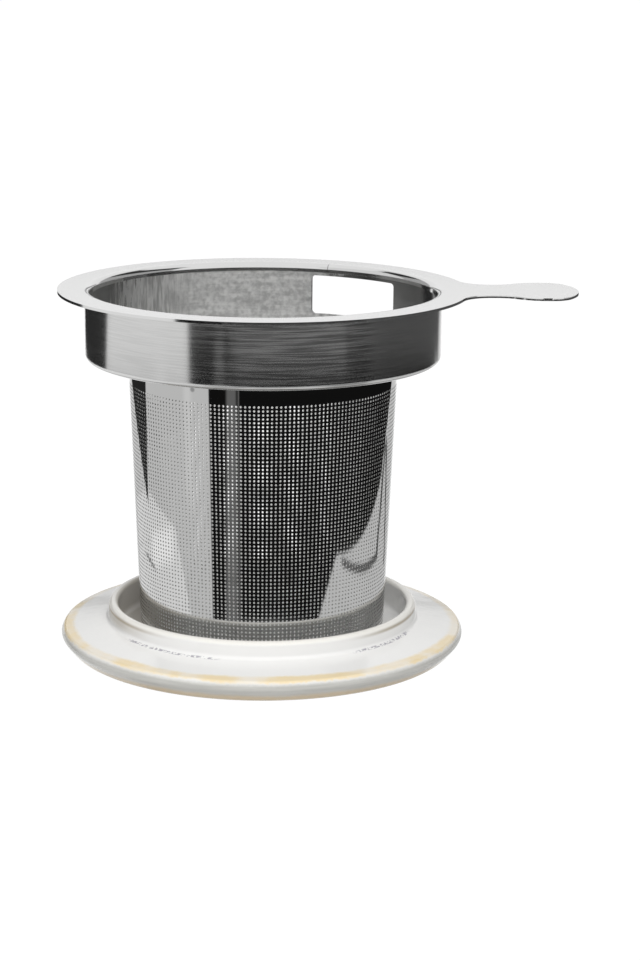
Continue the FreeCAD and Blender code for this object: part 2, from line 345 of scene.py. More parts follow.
class Value:
    """A shader socket that can be added, multiplied and compared like a number."""

    def __init__(self, nodes: "Nodes", socket: bpy.types.NodeSocket) -> None:
        """Wrap one output socket."""
        self.nodes = nodes
        self.socket = socket

    def math(self, operation: str, *others: Number) -> "Value":
        """Make one maths node.

        Args:
            operation: Name of the node's operation.
            others: The second and third operands, if any.

        Returns:
            The result.
        """
        operands = dict(enumerate((self, *others)))
        return self.nodes.node("ShaderNodeMath", numbered=operands, operation=operation)

    def __add__(self, other: Number) -> "Value":
        """Add."""
        return self.math("ADD", other)

    __radd__ = __add__

    def __mul__(self, other: Number) -> "Value":
        """Multiply."""
        return self.math("MULTIPLY", other)

    __rmul__ = __mul__

    def __sub__(self, other: Number) -> "Value":
        """Subtract."""
        return self.math("SUBTRACT", other)

    def __rsub__(self, other: float) -> "Value":
        """Subtract from a number."""
        return self.math("MULTIPLY", -1.0).math("ADD", other)

    def __truediv__(self, other: Number) -> "Value":
        """Divide."""
        return self.math("DIVIDE", other)

    def rise(self, low: float, high: float) -> "Value":
        """Rise smoothly between two values, or fall if the second is the lower.

        Args:
            low: Where the result is 0.
            high: Where the result is 1.

        Returns:
            The result, from 0 to 1.
        """
        rising = low < high
        return self.nodes.node(
            "ShaderNodeMapRange",
            "Result",
            interpolation_type="SMOOTHSTEP",
            Value=self,
            From_Min=min(low, high),
            From_Max=max(low, high),
            To_Min=0.0 if rising else 1.0,
            To_Max=1.0 if rising else 0.0,
        )

    def above(self, edge: float, soft: float) -> "Value":
        """Be 1 above an edge and 0 below it, changing within soft of it."""
        return self.rise(edge - soft, edge + soft)

    def below(self, edge: float, soft: float) -> "Value":
        """Be 1 below an edge and 0 above it, changing within soft of it."""
        return self.rise(edge + soft, edge - soft)

    def band(self, centre: float, half: float, soft: float) -> "Value":
        """Be 1 within half of a centre, falling to 0 over a soft edge."""
        return (self - centre).math("ABSOLUTE").rise(half + soft, max(half - soft, 0.0))

    def mix(self, under: Union[Colour, "Value"], over: Union[Colour, "Value"]) -> "Value":
        """Mix two colours, with the second one full where this value is 1."""
        sources = {MIX_FACTOR: self, MIX_UNDER: under, MIX_OVER: over}
        return self.nodes.node("ShaderNodeMix", MIXED_COLOUR, sources, data_type="RGBA")

    def tint(self, under: Union[Colour, "Value"], over: Colour, strength: float) -> "Value":
        """Lay a colour over another at a strength, where this value is 1."""
        return (self * strength).mix(under, over)


class Nodes:
    """A node tree, with the one method that adds nodes to it."""

    def __init__(self, tree: bpy.types.NodeTree) -> None:
        """Keep the tree."""
        self.tree = tree

    def connect(self, source: object, socket: bpy.types.NodeSocket) -> None:
        """Feed an input socket.

        Args:
            source: A value, a number or a colour.
            socket: The input socket.
        """
        if isinstance(source, Value):
            self.tree.links.new(source.socket, socket)
        elif isinstance(source, tuple) and socket.type == "RGBA":
            socket.default_value = (*source, 1.0)
        else:
            socket.default_value = source

    def node(
        self,
        kind: str,
        output: Union[str, int] = 0,
        numbered: Optional[dict[int, object]] = None,
        **named: object,
    ) -> Value:
        """Make any node.

        Args:
            kind: The node's type.
            output: Name or number of the wanted output.
            numbered: What feeds the inputs that are told apart by number.
            named: The node's settings, which are set first, and what feeds its other
                inputs, each by its name with spaces as underscores.

        Returns:
            The wanted output.
        """
        made = self.tree.nodes.new(kind)
        settings = {key: value for key, value in named.items() if hasattr(made, key)}
        for key, value in settings.items():
            setattr(made, key, value)
        for key, value in named.items():
            if key not in settings:
                self.connect(value, made.inputs[key.replace("_", " ")])
        for number, value in (numbered or {}).items():
            self.connect(value, made.inputs[number])
        return Value(self, made.outputs[output])

    def blend(self, factor: Value, first: Value, second: Value) -> Value:
        """Blend two shaders, with the second one full where the factor is 1."""
        sources = {BLEND_FACTOR: factor, BLEND_FIRST: first, BLEND_SECOND: second}
        return self.node("ShaderNodeMixShader", numbered=sources)


class Finish(Nodes):
    """One material, with the places in millimetres that its patterns are laid out by."""

    def __init__(self, name: str) -> None:
        """Start a material with a plain principled surface.

        Args:
            name: Name of the material.
        """
        self.material = bpy.data.materials.new(name)
        self.material.use_nodes = True
        super().__init__(self.material.node_tree)
        self.surface = self.tree.nodes["Principled BSDF"]
        place = self.node("ShaderNodeTexCoord", "Object")
        self.place = self.node("ShaderNodeVectorMath", operation="SCALE", Vector=place, Scale=1 / MM)
        self.x, self.y, self.z = (
            self.node("ShaderNodeSeparateXYZ", axis, Vector=self.place) for axis in "XYZ"
        )
        self.radius = (self.x * self.x + self.y * self.y).math("SQRT")
        self.angle = self.y.math("ARCTAN2", self.x) * DEGREE

    def noise(self, scale: float, detail: float = 2.0, place: Optional[Value] = None) -> Value:
        """Give noise from 0 to 1, with its scale per millimetre."""
        vector = place or self.place
        return self.node("ShaderNodeTexNoise", Vector=vector, Scale=scale, Detail=detail)

    def vector(self, x: Number, y: Number, z: Number) -> Value:
        """Combine three numbers."""
        return self.node("ShaderNodeCombineXYZ", X=x, Y=y, Z=z)

    def set(self, **inputs: object) -> None:
        """Feed the surface's own sockets, named with spaces as underscores."""
        for key, value in inputs.items():
            self.connect(value, self.surface.inputs[key.replace("_", " ")])

    def bump(self, height: Value, distance: float) -> None:
        """Raise the surface by a height from 0 to 1 times a distance in millimetres."""
        self.set(Normal=self.node("ShaderNodeBump", Height=height, Distance=distance * MM, Strength=1.0))

    def show(self, shader: Value) -> bpy.types.Material:
        """Show another shader in place of the principled surface, and give the material."""
        self.connect(shader, self.tree.nodes["Material Output"].inputs["Surface"])
        return self.material


@dataclass(frozen=True)
class Glaze:
    """Glossy off-white glaze that thins to tan on the edges, with painted shade on the ring's walls.

    Each span gives where a colour starts and where it is full. Radii, heights and places
    are millimetres, and bearings are degrees from the camera's side.
    """

    white: Colour = (0.81, 0.805, 0.79)
    side: Colour = (0.54, 0.535, 0.505)
    cream: Colour = (0.80, 0.775, 0.715)
    tan: Colour = (0.79, 0.64, 0.38)
    # Dark tan: the glaze's break on the crown's edge, and painted shade on the ring's walls.
    thin_glaze_and_shade: Colour = (0.36, 0.30, 0.21)
    foot: Colour = (0.62, 0.49, 0.31)
    bare: Colour = (0.46, 0.38, 0.29)
    crackle: Colour = (0.33, 0.32, 0.36)
    gloss_roughness: float = 0.16
    unglazed_roughness: float = 0.75
    streak_shade: float = 0.88
    side_radii: Span = (42.0, 43.0)
    side_heights: Span = (5.0, 3.9)
    break_radii: Span = (41.7, 43.0)
    break_heights: Span = (4.4, 5.0)
    foot_radii: Span = (40.5, 41.5)
    foot_heights: Span = (2.3, 1.0)
    bare_heights: Span = (0.3, 0.1)
    crown_heights: Span = (9.5, 10.1)
    # The crown's edge line: the glaze's break, with painted shade at the sides.
    crown_edge_radii: Span = (34.0, 34.2)
    crown_edge_height: float = 9.4
    crown_edge_shade_bearings: Span = (30.0, 60.0)
    # Painted shade on the well's inner wall at the left.
    shaded_radii: Span = (33.2, 32.8)
    shaded_places: Span = (-20.0, -28.0)
    # Painted shade on the ring's outer wall at the left.
    ring_wall_radius: float = 34.5
    ring_wall_height: float = 8.5
    ring_wall_shade_bearings: Span = (-40.0, -66.0)
    crackle_radius: float = 35.15
    crackle_heights: Span = (8.2, 7.4)
    crackle_arcs: tuple[Span, Span] = ((-34.0, 19.0), (52.0, 15.0))
    waviness: float = 0.12

    def build(self) -> bpy.types.Material:
        """Make the material.

        Returns:
            The material.
        """
        finish = Finish("glazed stoneware")
        wide = finish.noise(scale=0.09, detail=3.0) - 0.5
        fine = finish.noise(scale=1.1, detail=4.0) - 0.5
        bearing = finish.angle + 90.0
        colour = self.colour_flange(finish, wide, fine)
        colour = self.colour_ring(finish, bearing, colour)
        colour = self.colour_crackle(finish, bearing, wide, colour)
        bare = finish.z.rise(*self.bare_heights)
        roughness = bare * (self.unglazed_roughness - self.gloss_roughness) + self.gloss_roughness
        finish.set(Base_Color=bare.mix(colour, self.bare), Roughness=roughness, IOR=1.5)
        finish.bump(finish.noise(scale=0.16), self.waviness)
        return finish.material

    def colour_flange(self, finish: Finish, wide: Value, fine: Value) -> Value:
        """Colour the flange: white above, streaked at its side, tan where the glaze breaks.

        Args:
            finish: The material.
            wide: Slow noise about 0, with which the breaks wander.
            fine: Quick noise about 0, which frays them.

        Returns:
            The colour.
        """
        z = finish.z + wide * 0.8 + fine * 0.5
        radius = finish.radius + wide * 1.6 + fine * 0.7
        grain = finish.vector(finish.angle * 0.05, finish.z * 1.4, 0.0)
        streaks = finish.noise(scale=1.0, detail=3.0, place=grain).rise(0.35, 0.65)
        side = streaks.mix(tuple(self.streak_shade * part for part in self.side), self.side)
        edge = (finish.z + fine * 0.4).rise(*self.side_heights) * finish.radius.rise(*self.side_radii)
        rim_break = radius.rise(*self.break_radii) * (z + fine * 0.4).rise(*self.break_heights)
        patches = finish.noise(scale=0.13).rise(0.35, 0.6) * 0.55 + 0.35
        colour = (rim_break * patches).mix(edge.mix(self.white, side), self.tan)
        foot = z.rise(*self.foot_heights) * finish.radius.rise(*self.foot_radii)
        return foot.tint(colour, self.foot, strength=0.85)

    def colour_ring(self, finish: Finish, bearing: Value, colour: Value) -> Value:
        """Colour the ring: its crown, the crown's edge with painted shade at the sides, and painted shade on
        the well's left wall and on the ring's outer wall at the left.

        Args:
            finish: The material.
            bearing: Degrees from the camera's side.
            colour: The colour so far.

        Returns:
            The colour.
        """
        colour = finish.z.rise(*self.crown_heights).tint(colour, self.cream, strength=0.7)
        # The dark line on the crown's outer edge is partly the glaze's break and partly painted shade: it is
        # drawn only at the sides, away from the camera's side.
        crown_edge = finish.z.band(self.crown_edge_height, half=0.25, soft=0.4)
        crown_edge = crown_edge * finish.radius.rise(*self.crown_edge_radii)
        crown_edge = crown_edge * bearing.math("ABSOLUTE").rise(*self.crown_edge_shade_bearings)
        colour = crown_edge.tint(colour, self.thin_glaze_and_shade, strength=0.85)
        # Painted shade on the well's inner wall at the left.
        shaded = finish.x.rise(*self.shaded_places) * finish.radius.rise(*self.shaded_radii)
        colour = shaded.tint(colour, self.thin_glaze_and_shade, strength=0.45)
        # Painted shade on the ring's outer wall at the left.
        wall = finish.z.band(self.ring_wall_height, half=0.7, soft=1.2)
        wall = wall * finish.radius.band(self.ring_wall_radius, half=0.5, soft=0.3)
        return (wall * bearing.rise(*self.ring_wall_shade_bearings)).tint(colour, self.thin_glaze_and_shade, strength=0.5)

    def colour_crackle(self, finish: Finish, bearing: Value, wide: Value, colour: Value) -> Value:
        """Draw the broken dark line at the ring's foot, on two arcs.

        Args:
            finish: The material.
            bearing: Degrees from the camera's side.
            wide: Slow noise about 0, with which the line wanders.
            colour: The colour so far.

        Returns:
            The colour.
        """
        line = (finish.radius + wide * 0.9).band(self.crackle_radius, half=0.36, soft=0.15)
        line = line * finish.z.rise(*self.crackle_heights)
        speckle = finish.noise(scale=1.4, detail=3.0).rise(0.44, 0.53)
        first, second = (bearing.band(centre, half, soft=3.0) for centre, half in self.crackle_arcs)
        return (line * speckle * (first + second)).tint(colour, self.crackle, strength=0.9)


@dataclass(frozen=True)
class PolishedSteel:
    """Finely polished sheet, with the joint mark of its lip."""

    tone: Colour = (0.70, 0.70, 0.697)
    joint_tone: Colour = (0.2, 0.2, 0.2)
    roughness: float = 0.09
    joint_degrees: float = 68.3
    joint_radii: Span = (39.0, 38.2)

    def build(self) -> bpy.types.Material:
        """Make the material.

        Returns:
            The material.
        """
        finish = Finish("polished steel")
        joint = finish.angle.band(self.joint_degrees, half=0.18, soft=0.12)
        joint = joint * finish.radius.rise(*self.joint_radii)
        grain = finish.vector(finish.x * 0.2, finish.y * 3.0, finish.z)
        roughness = finish.noise(scale=1.0, detail=3.0, place=grain) * 0.04 + self.roughness
        colour = joint.tint(self.tone, self.joint_tone, strength=0.55)
        finish.set(Base_Color=colour, Roughness=roughness, Metallic=1.0)
        return finish.material


@dataclass(frozen=True)
class BrushedSteel:
    """Sheet that is brushed round the axis outside and frosted in places inside, with painted shade on the
    rest of the inside.

    Each span gives where a finish starts and where it is full.
    """

    tone: Colour = (0.66, 0.66, 0.655)
    # Black: the brush grooves, and painted shade on the inside.
    groove_and_inside_shade: Colour = (0.0, 0.0, 0.0)
    roughness: float = 0.13
    inside_tone: Colour = (0.93, 0.93, 0.92)
    inside_shade: float = 0.6
    inside_roughness: float = 0.34
    anisotropy: float = 0.6
    groove_depth: float = 0.002
    front_band_degrees: float = -80.0
    upright_degrees: Span = (112.0, 130.0)
    frosted_degrees: float = 106.0
    inside_radii: Span = (38.85, 38.65)
    inside_heights: Span = (65.6, 65.8)

    def build(self) -> bpy.types.Material:
        """Make the material.

        Returns:
            The material.
        """
        finish = Finish("brushed steel")
        grain = finish.vector(finish.angle * 0.05, finish.z * 3.2, finish.radius * 3.2)
        lines = finish.noise(scale=1.0, detail=3.0, place=grain)
        # Grooves and cloudy patches show darker in a band at the front.
        front_band = finish.angle.band(self.front_band_degrees, half=26.0, soft=3.0) * 0.42 + 0.08
        clouds = finish.noise(scale=0.10, detail=3.0).rise(0.35, 0.7) * 0.2
        outside = (lines.rise(0.62, 0.38) * front_band + clouds * front_band).mix(self.tone, self.groove_and_inside_shade)
        within = finish.radius.rise(*self.inside_radii) * finish.z.rise(*self.inside_heights)
        frost = self.frost(finish)
        dark = tuple(self.inside_shade * part for part in self.inside_tone)
        inside = frost.rise(0.34, 0.66).mix(dark, self.inside_tone)
        ragged = finish.angle + (frost - 0.5) * 50.0
        frosted = within * ragged.band(self.frosted_degrees, half=42.0, soft=9.0)
        # Painted shade: away from the frosted band, the inside is darkened halfway to black.
        colour = frosted.mix(within.tint(outside, self.groove_and_inside_shade, strength=0.5), inside)
        roughness = lines * 0.08 + self.roughness
        roughness = roughness + frosted * (self.inside_roughness - self.roughness)
        finish.set(Base_Color=colour, Roughness=roughness, Metallic=1.0)
        finish.set(Anisotropic=self.anisotropy, Anisotropic_Rotation=0.25)
        finish.bump(lines, self.groove_depth)
        return finish.material

    def frost(self, finish: Finish) -> Value:
        """Give the frosting's pattern: upright streaks at the left, level and fine ones elsewhere.

        Args:
            finish: The material.

        Returns:
            The pattern, from 0 to 1.
        """
        upright_grain = finish.vector(finish.angle * 0.9, finish.z * 0.2, 0.0)
        level_grain = finish.vector(finish.angle * 0.07, finish.z * 0.8, 0.0)
        upright = finish.noise(scale=1.0, detail=5.0, place=upright_grain)
        level = finish.noise(scale=1.0, detail=5.0, place=level_grain)
        fine = finish.noise(scale=0.9, detail=6.0)
        left = finish.angle.rise(*self.upright_degrees)
        return left * upright + (1.0 - left) * (level * 0.45 + fine * 0.55)


@dataclass(frozen=True)
class EtchedSteel:
    """Bright sheet of light gauge with a spot-weld mark on its plain band, whose inner face is painted
    lighter, a painted light.
    """

    tone: Colour = (0.62, 0.62, 0.615)
    roughness: float = 0.035
    # Painted light: the inner face's steel is far lighter than the outer face's.
    inside_tone: Colour = (0.90, 0.90, 0.89)
    inside_roughness: float = 0.4
    inside_metal: float = 0.5
    weld_tone: Colour = (0.15, 0.15, 0.15)
    weld_degrees: float = -118.8
    weld_radius: float = 29.5
    weld_height: float = 63.15
    weld_distances: Span = (0.75, 0.3)

    def build(self) -> bpy.types.Material:
        """Make the outer face's material.

        Returns:
            The material.
        """
        finish = Finish("perforated steel")
        weld = math.radians(self.weld_degrees)
        across = finish.x - self.weld_radius * math.cos(weld)
        deep = finish.y - self.weld_radius * math.sin(weld)
        up = finish.z - self.weld_height
        distance = (across * across + deep * deep + up * up).math("SQRT")
        colour = distance.rise(*self.weld_distances).tint(self.tone, self.weld_tone, strength=0.6)
        finish.set(Base_Color=colour, Roughness=self.roughness, Metallic=1.0)
        return finish.material

    def build_inside(self) -> bpy.types.Material:
        """Make the duller inner face's material, a lighter copy of the steel that is painted light.

        Returns:
            The material.
        """
        finish = Finish("perforated steel inside")
        finish.set(Base_Color=self.inside_tone, Roughness=self.inside_roughness, Metallic=self.inside_metal)
        return finish.material


# Pieces


class Piece:
    """A sub-assembly that rides with a body and stands for CAD nodes."""

    body: Body
    slot: Slot
    nodes: tuple[str, ...]

    def deliver(self, made: Iterable[bpy.types.Object]) -> None:
        """Hand the finished objects to the frame and report them.

        Args:
            made: The finished objects.
        """
        for item in made:
            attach(item, self.body.value)
            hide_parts(*self.nodes)
            triangles = sum(len(face.vertices) - 2 for face in item.data.polygons)
            LOG.info("%s: %d triangles, rides with %s", item.name, triangles, self.body.value)


@dataclass(frozen=True)
class LidSizes:
    """Sizes of the upturned lid."""

    rest: Corner = Corner(42.4, 0.0, 2.4)
    widest: Corner = Corner(45.3, 3.4, 1.4)
    rim_edge: Corner = Corner(44.3, 5.1, 0.7)
    ring_foot: Corner = Corner(34.4, 6.7, 1.0)
    crown_outer: Corner = Corner(34.4, 10.45, 1.0)
    crown_inner: Corner = Corner(32.3, 10.45, 1.0)
    well_corner: Corner = Corner(32.3, 4.0, 1.4)
    well_floor: float = 4.0
    segments: int = 320

    def section(self) -> list[Corner]:
        """Give the outline from the axis below to the axis above.

        Returns:
            The outline's corners.
        """
        around = [self.rest, self.widest, self.rim_edge, self.ring_foot]
        around += [self.crown_outer, self.crown_inner, self.well_corner]
        return [Corner(0, 0), *around, Corner(0, self.well_floor)]


@dataclass(frozen=True)
class Lid(Piece):
    """The glazed stoneware lid."""

    sizes: LidSizes = LidSizes()
    glaze: Glaze = Glaze()
    body = Body.LID
    slot = Slot.GLAZE
    nodes = ("lid",)

    def build(self) -> None:
        """Turn the lid."""
        section = rounded(self.sizes.section(), closed=False, steps=10)
        piece = Workshop.lathe("stoneware_lid", section, False, self.sizes.segments)
        Workshop.finish(piece, self.glaze.build(), smooth_degrees=50.0)
        self.deliver([piece])


@dataclass(frozen=True)
class RimSizes:
    """Sizes of the flat rim, its lip and its handle."""

    top: float = 80.8
    gauge: float = 0.6
    radius: float = 44.9
    lip_inner: float = 37.85
    lip_drop: float = 1.95
    bend: float = 1.3
    reach: float = 23.9
    neck_half_width: float = 7.4
    neck_length: float = 0.4
    flare_length: float = 10.2
    fillet: float = 7.0
    half_width: float = 10.8
    corner_round: float = 5.0
    end_round: float = 16.0
    edge_round: float = 0.14
    seam_inset: float = 0.15
    segments: int = 256

    def handle(self) -> list[Vector]:
        """Give the handle's outline, from the rim above the X axis to the rim below it.

        Returns:
            The outline's points.
        """
        fillet_y = self.neck_half_width + self.fillet
        fillet_x = math.sqrt((self.radius + self.fillet) ** 2 - fillet_y**2)
        touch = math.atan2(fillet_y, fillet_x)
        neck_end = fillet_x + self.neck_length
        rise = (self.half_width - self.neck_half_width) / 2
        run = self.flare_length / 2
        swing = (run**2 + rise**2) / (2 * rise)
        turn = math.asin(run / swing)
        widest = neck_end + self.flare_length
        end_x = self.radius + self.reach - self.end_round
        corner_y = self.half_width - self.corner_round
        corner_x = end_x + math.sqrt((self.end_round - self.corner_round) ** 2 - corner_y**2)
        out = math.atan2(corner_y, corner_x - end_x)
        down = 1.5 * math.pi
        upper = arc((fillet_x, fillet_y), self.fillet, touch + math.pi, down, parts=20)
        upper += arc((neck_end, self.neck_half_width + swing), swing, down, down + turn, parts=14)
        high = math.pi / 2
        upper += arc((widest, self.half_width - swing), swing, high + turn, high, parts=14)[1:]
        upper += arc((corner_x, corner_y), self.corner_round, high, out, parts=16)
        end = arc((end_x, 0), self.end_round, out, -out, parts=32)[1:-1]
        lower = [Vector((point.x, -point.y)) for point in reversed(upper)]
        return upper + end + lower

    def outline(self) -> list[Vector]:
        """Give the closed outline of the rim with its handle.

        Returns:
            The outline's points.
        """
        handle = self.handle()
        touch = math.atan2(handle[0].y, handle[0].x)
        around = arc((0, 0), self.radius, 2 * math.pi - touch, touch, parts=240)[1:]
        return handle + around


@dataclass(frozen=True)
class RimPlate(Piece):
    """The flat rim with its handle and rolled-in lip."""

    sizes: RimSizes = RimSizes()
    steel: PolishedSteel = PolishedSteel()
    body = Body.INFUSER
    slot = Slot.POLISHED
    nodes = ("rim_plate",)

    def build(self) -> None:
        """Form the sheet, then give it its thickness."""
        sizes = self.sizes
        seam = sizes.lip_inner + sizes.bend + sizes.seam_inset
        section = [
            Corner(sizes.lip_inner, sizes.top - sizes.lip_drop),
            Corner(sizes.lip_inner, sizes.top, sizes.bend),
            Corner(seam, sizes.top),
        ]
        lip = Workshop.lathe("lip", rounded(section, closed=False, steps=12), False, sizes.segments)
        flat = [Vector((point.x, point.y, sizes.top)) for point in sizes.outline()]
        piece = Workshop.join("rim_with_handle", [lip, Workshop.path("flat", flat)])

        def on_flat(place: Vector) -> bool:
            """Whether a place is on the flat, from the seam outwards."""
            return place.z > sizes.top - SAME and math.hypot(place.x, place.y) > seam - NEAR

        Workshop.select_where(piece, on_flat)
        bpy.ops.mesh.fill(use_beauty=True)
        Workshop.turn_outwards()
        bpy.ops.object.mode_set(mode="OBJECT")
        Workshop.face_up(piece, True)
        Workshop.modify(piece, "SOLIDIFY", thickness=sizes.gauge * MM, offset=-1.0, use_even_offset=True)
        Workshop.modify(
            piece,
            "BEVEL",
            width=sizes.edge_round * MM,
            segments=2,
            limit_method="ANGLE",
            angle_limit=math.radians(60),
        )
        Workshop.finish(piece, self.steel.build())
        Workshop.modify(piece, "WEIGHTED_NORMAL", mode="FACE_AREA", weight=100, keep_sharp=True)
        self.deliver([piece])


@dataclass(frozen=True)
class CollarSizes:
    """Sizes of the collar and its window."""

    radius: float = 39.0
    gauge: float = 0.5
    top: float = 79.5
    shelf: float = 65.4
    neck_foot: float = 63.0
    neck_outer: float = 29.2
    bottom_round: float = 1.3
    neck_round: float = 0.8
    window_degrees: float = 57.7
    window_width: float = 22.3
    window_height: float = 8.95
    window_top: float = 78.0
    window_round: float = 0.9
    segments: int = 360

    def section(self) -> list[Corner]:
        """Give the closed section of wall, shelf and neck.

        Returns:
            The section's corners.
        """
        inner = self.radius - self.gauge
        neck_inner = self.neck_outer - self.gauge
        shelf_top = self.shelf + self.gauge
        return [
            Corner(neck_inner, self.neck_foot),
            Corner(self.neck_outer, self.neck_foot),
            Corner(self.neck_outer, self.shelf),
            Corner(self.radius, self.shelf, self.bottom_round),
            Corner(self.radius, self.top),
            Corner(inner, self.top),
            Corner(inner, shelf_top, self.bottom_round - self.gauge),
            Corner(neck_inner, shelf_top, self.neck_round),
        ]


@dataclass(frozen=True)
class Collar(Piece):
    """The plain band under the rim, with the window in one side."""

    sizes: CollarSizes = CollarSizes()
    steel: BrushedSteel = BrushedSteel()
    body = Body.INFUSER
    slot = Slot.BRUSHED
    nodes = ("collar",)

    def cutter(self) -> bpy.types.Object:
        """Make a rounded block that goes through the wall where the window is.

        Returns:
            The block.
        """
        sizes = self.sizes
        half = sizes.window_width / 2
        low = sizes.window_top - sizes.window_height
        corners = [
            Corner(-half, low, sizes.window_round),
            Corner(half, low, sizes.window_round),
            Corner(half, sizes.window_top, sizes.window_round),
            Corner(-half, sizes.window_top, sizes.window_round),
        ]
        outline = rounded(corners, closed=True, steps=6)
        start = sizes.radius * 0.75
        chain = [Vector((start, point.x, point.y)) for point in [*outline, outline[0]]]
        block = Workshop.path("window_cutter", chain)
        Workshop.edit(block)
        bpy.ops.mesh.edge_face_add()
        depth = Vector((sizes.radius / 2, 0, 0)) * MM
        bpy.ops.mesh.extrude_region_move(TRANSFORM_OT_translate={"value": depth})
        Workshop.turn_outwards()
        bpy.ops.transform.rotate(
            value=-math.radians(sizes.window_degrees), orient_axis="Z", center_override=(0, 0, 0)
        )
        bpy.ops.object.mode_set(mode="OBJECT")
        return block

    def build(self) -> None:
        """Draw the collar and cut its window."""
        section = rounded(self.sizes.section(), closed=True, steps=10)
        piece = Workshop.lathe("brushed_collar", section, True, self.sizes.segments)
        block = self.cutter()
        Workshop.modify(piece, "BOOLEAN", object=block, operation="DIFFERENCE", solver="EXACT")
        bpy.data.objects.remove(block)
        Workshop.finish(piece, self.steel.build())
        self.deliver([piece])


@dataclass(frozen=True)
class BasketSizes:
    """Sizes of the perforated wall and floor."""

    foot: float = 4.0
    top: float = 65.4
    foot_radius: float = 27.2
    top_radius: float = 29.65
    gauge: float = 0.3
    hole_radius: float = 0.26
    hole_sides: int = 8
    columns: int = 196
    column_shift: float = 0.28
    rows: int = 65
    row_pitch: float = 0.8425
    first_row: float = 60.16
    panels: int = 4
    floor_gauge: float = 0.4
    floor_rim: float = 2.0
    floor_pitch: float = 0.95
    floor_margin: float = 1.2
    floor_ledge: float = 0.9
    floor_fold: float = 0.5
    floor_segments: int = 192
    weld_gap: float = 0.05

    @property
    def pan_radius(self) -> float:
        """The floor pan's outer radius, a weld gap inside the wall."""
        return self.foot_radius - self.gauge - self.weld_gap

    @property
    def cells_reach(self) -> float:
        """The radius that the floor's cells stay within."""
        return self.pan_radius - self.floor_gauge - self.floor_margin


@dataclass(frozen=True)
class Basket(Piece):
    """The perforated tube, rolled from etched sheet."""

    sizes: BasketSizes = BasketSizes()
    steel: EtchedSteel = EtchedSteel()
    body = Body.INFUSER
    slot = Slot.PERFORATED
    nodes = ("basket_wall",)

    def sheet(self, name: str, pitch: tuple[float, float], counts: tuple[int, int]) -> bpy.types.Object:
        """Etch a flat sheet of square cells with one hole each.

        Args:
            name: Name of the new object.
            pitch: Size of a cell in millimetres.
            counts: Number of cells each way.

        Returns:
            The sheet in the XY plane, with its first cell's corner at the origin.
        """
        Workshop.clear_selection()
        bpy.ops.mesh.primitive_plane_add(size=MM, location=(0, 0, 0))
        piece = bpy.context.object
        piece.name = name
        Workshop.edit(piece)
        bpy.ops.transform.resize(value=(pitch[0], pitch[1], 1))
        bpy.ops.mesh.delete(type="ONLY_FACE")
        bpy.ops.mesh.select_all(action="SELECT")
        bpy.ops.mesh.subdivide(number_cuts=1)
        hole = self.sizes.hole_radius * MM
        bpy.ops.mesh.primitive_circle_add(vertices=self.sizes.hole_sides, radius=hole)
        bpy.ops.mesh.select_all(action="SELECT")
        bpy.ops.mesh.bridge_edge_loops()
        bpy.ops.mesh.select_all(action="SELECT")
        bpy.ops.transform.translate(value=(pitch[0] * MM / 2, pitch[1] * MM / 2, 0))
        bpy.ops.object.mode_set(mode="OBJECT")
        Workshop.face_up(piece, True)
        for axis in (0, 1):
            step = [0.0, 0.0, 0.0]
            step[axis] = pitch[axis] * MM
            Workshop.modify(
                piece,
                "ARRAY",
                count=counts[axis],
                use_relative_offset=False,
                use_constant_offset=True,
                constant_offset_displace=step,
                use_merge_vertices=True,
                merge_threshold=NEAR * MM,
            )
        return piece

    def rolled(
        self, panel: int, outside: bpy.types.Material, inside: bpy.types.Material
    ) -> bpy.types.Object:
        """Make one panel of the wall and roll it on the taper.

        Args:
            panel: The panel's number, from 0.
            outside: Finish of the outer face and of the holes.
            inside: Finish of the inner face.

        Returns:
            The rolled panel with its thickness.
        """
        sizes = self.sizes
        columns = sizes.columns // sizes.panels
        piece = self.sheet(f"basket_panel_{panel + 1}", (1.0, sizes.row_pitch), (columns, sizes.rows))
        height = sizes.rows * sizes.row_pitch
        low = sizes.first_row - (sizes.rows - 0.5) * sizes.row_pitch
        for edge, level in ((0.0, sizes.foot - low), (height, sizes.top - low)):
            Workshop.select_where(piece, lambda place, edge=edge: abs(place.y - edge) < NEAR)
            shift = Vector((0, (level - edge) * MM, 0))
            bpy.ops.mesh.extrude_region_move(TRANSFORM_OT_translate={"value": shift})
            bpy.ops.object.mode_set(mode="OBJECT")
        slope = (sizes.top_radius - sizes.foot_radius) / (sizes.top - sizes.foot)

        def roll(points: np.ndarray) -> np.ndarray:
            """Wrap the sheet round the axis.

            Args:
                points: Places on the flat sheet, in columns and millimetres.

            Returns:
                Places on the tapered wall.
            """
            angle = 2 * math.pi * (points[:, 0] + panel * columns + sizes.column_shift) / sizes.columns
            level = points[:, 1] + low
            radius = sizes.foot_radius + slope * (level - sizes.foot)
            return np.stack([radius * np.cos(angle), radius * np.sin(angle), level], axis=1)

        Workshop.remap(piece, roll)
        piece.data.materials.append(outside)
        piece.data.materials.append(inside)
        Workshop.modify(piece, "SOLIDIFY", thickness=sizes.gauge * MM, offset=-1.0, material_offset=1)
        return piece

    def build(self) -> None:
        """Roll the wall in panels."""
        outside = self.steel.build()
        inside = self.steel.build_inside()
        panels = [self.rolled(panel, outside, inside) for panel in range(self.sizes.panels)]
        for panel in panels:
            Workshop.finish(panel)
        self.deliver(panels)


